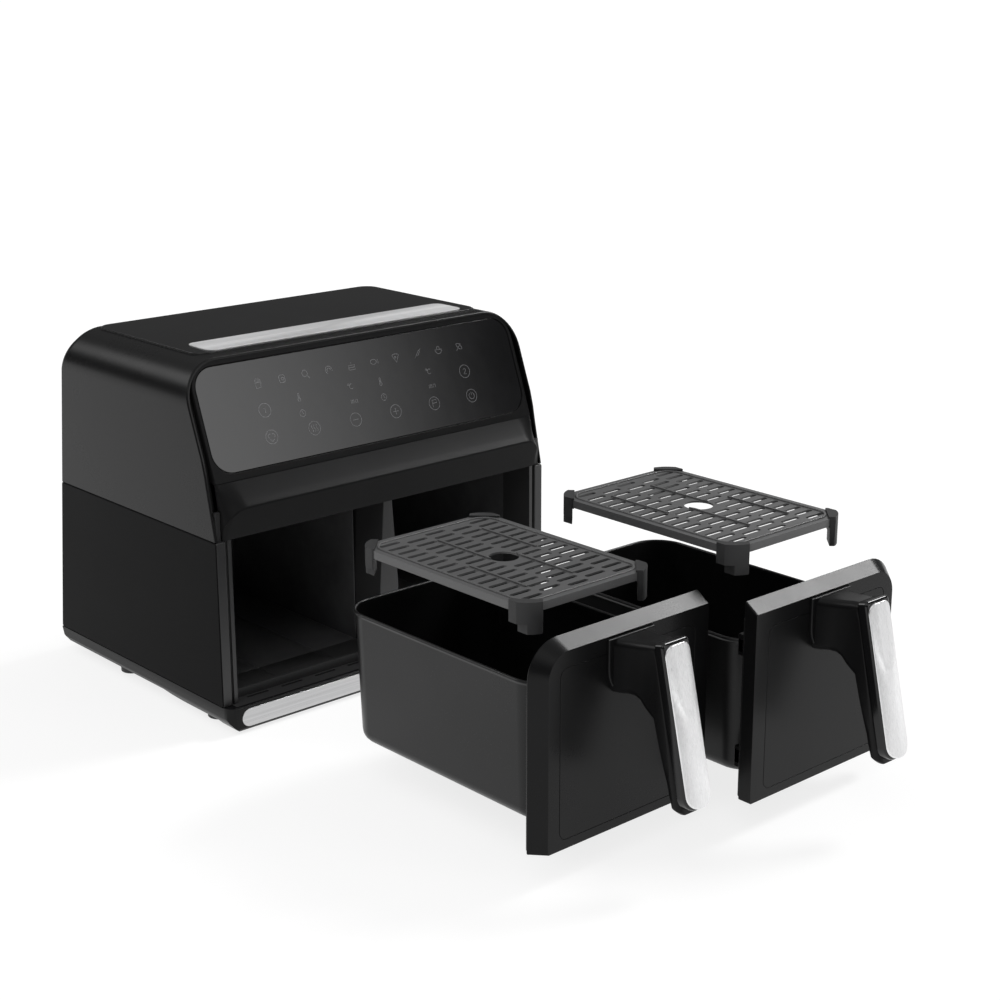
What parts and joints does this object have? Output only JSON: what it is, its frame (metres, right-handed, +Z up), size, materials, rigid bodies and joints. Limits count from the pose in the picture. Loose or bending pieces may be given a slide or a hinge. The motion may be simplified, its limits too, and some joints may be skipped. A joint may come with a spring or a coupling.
{
  "type": "air fryer",
  "caption": "Countertop air fryer with a tilted touch panel and side-by-side basket drawers, drawn pulled out with their crisper plates lifted clear.",
  "frame": {"origin": "on the table, under the middle of the whole object's box with the drawers pulled out as drawn", "axes": "+X to the right as seen from the front, +Y to the back of the housing, +Z up"},
  "size_m": [0.39, 0.8144, 0.3342],
  "materials": {
    "satin_black_plastic": "fine-grained satin black moulding",
    "gloss_black_plastic": "polished black moulding",
    "brushed_trim": "brushed stainless, grain along the strip",
    "nonstick_coating": "dark grey nonstick coating with fine fleck",
    "plate_coating": "dark nonstick coating, satin",
    "liner_steel": "dark coated steel sheet",
    "bare_steel": "plain zinc-plated steel",
    "element_sheath": "heat-tinted tube",
    "fan_aluminium": "stamped aluminium",
    "motor_case": "motor laminations and end bells",
    "silicone": "matt black silicone",
    "touch_glass": "back-printed black touch glass, mirror-smooth",
    "circuit_board": "green board with components",
    "ceramic": "glazed ceramic body"
  },
  "bodies": {
    "housing": {"base_tray": "satin_black_plastic", "rubber_feet": "silicone", "base_trim_strip": "brushed_trim", "front_sill": "satin_black_plastic", "left_side_panel": "satin_black_plastic", "right_side_panel": "satin_black_plastic", "upper_shell": "satin_black_plastic", "rear_cover": "satin_black_plastic", "top_lid_panel": "gloss_black_plastic", "top_trim_strip": "brushed_trim", "front_fascia": "satin_black_plastic", "control_glass": "touch_glass", "control_board": "circuit_board", "opening_frame": "satin_black_plastic", "centre_divider": "satin_black_plastic", "left_cavity_liner": "liner_steel", "right_cavity_liner": "liner_steel", "motor_deck": "bare_steel", "left_heater_coil": "element_sheath", "right_heater_coil": "element_sheath", "left_heater_guard": "bare_steel", "right_heater_guard": "bare_steel", "left_guard_pins": "bare_steel", "right_guard_pins": "bare_steel", "left_fan_motor": "motor_case", "right_fan_motor": "motor_case", "left_thermal_cutout": "ceramic", "right_thermal_cutout": "ceramic", "power_board": "circuit_board", "left_microswitch": "satin_black_plastic", "right_microswitch": "satin_black_plastic", "cord_gland": "gloss_black_plastic", "housing_screws": "bare_steel"},
    "left_fan_rotor": {"left_motor_shaft": "bare_steel", "left_convection_fan": "fan_aluminium", "left_cooling_fan": "satin_black_plastic"},
    "right_fan_rotor": {"right_motor_shaft": "bare_steel", "right_convection_fan": "fan_aluminium", "right_cooling_fan": "satin_black_plastic"},
    "left_drawer": {"left_basket": "nonstick_coating", "left_drawer_front": "satin_black_plastic", "left_front_backing": "satin_black_plastic", "left_basket_bracket": "satin_black_plastic", "left_handle_arm": "satin_black_plastic", "left_handle_cap": "gloss_black_plastic", "left_handle_trim": "brushed_trim", "left_drawer_screws": "bare_steel"},
    "right_drawer": {"right_basket": "nonstick_coating", "right_drawer_front": "satin_black_plastic", "right_front_backing": "satin_black_plastic", "right_basket_bracket": "satin_black_plastic", "right_handle_arm": "satin_black_plastic", "right_handle_cap": "gloss_black_plastic", "right_handle_trim": "brushed_trim", "right_drawer_screws": "bare_steel"},
    "left_plate": {"left_crisper_plate": "plate_coating", "left_plate_feet": "silicone"},
    "right_plate": {"right_crisper_plate": "plate_coating", "right_plate_feet": "silicone"}
  },
  "joints": [
    {"name": "left_drawer_slide", "type": "slide", "parent": "housing", "child": "left_drawer", "axis": [0, 1, 0], "range_m": [0, 0.384]},
    {"name": "left_plate_lift", "type": "slide", "parent": "left_drawer", "child": "left_plate", "axis": [0, 0, -1], "range_m": [0, 0.145]},
    {"name": "left_fan_spin", "type": "hinge", "parent": "housing", "child": "left_fan_rotor", "pos_m": [-0.0912, 0.26595, 0.2], "axis": [0, 0, 1], "continuous": true},
    {"name": "right_drawer_slide", "type": "slide", "parent": "housing", "child": "right_drawer", "axis": [0, 1, 0], "range_m": [0, 0.428]},
    {"name": "right_plate_lift", "type": "slide", "parent": "right_drawer", "child": "right_plate", "axis": [0, 0, -1], "range_m": [0, 0.161]},
    {"name": "right_fan_spin", "type": "hinge", "parent": "housing", "child": "right_fan_rotor", "pos_m": [0.0912, 0.26595, 0.2], "axis": [0, 0, 1], "continuous": true}
  ],
  "couplings": [
    {"joint": "left_plate_lift", "follows": "left_drawer_slide", "ratio": 0.3776},
    {"joint": "right_plate_lift", "follows": "right_drawer_slide", "ratio": 0.37617}
  ]
}
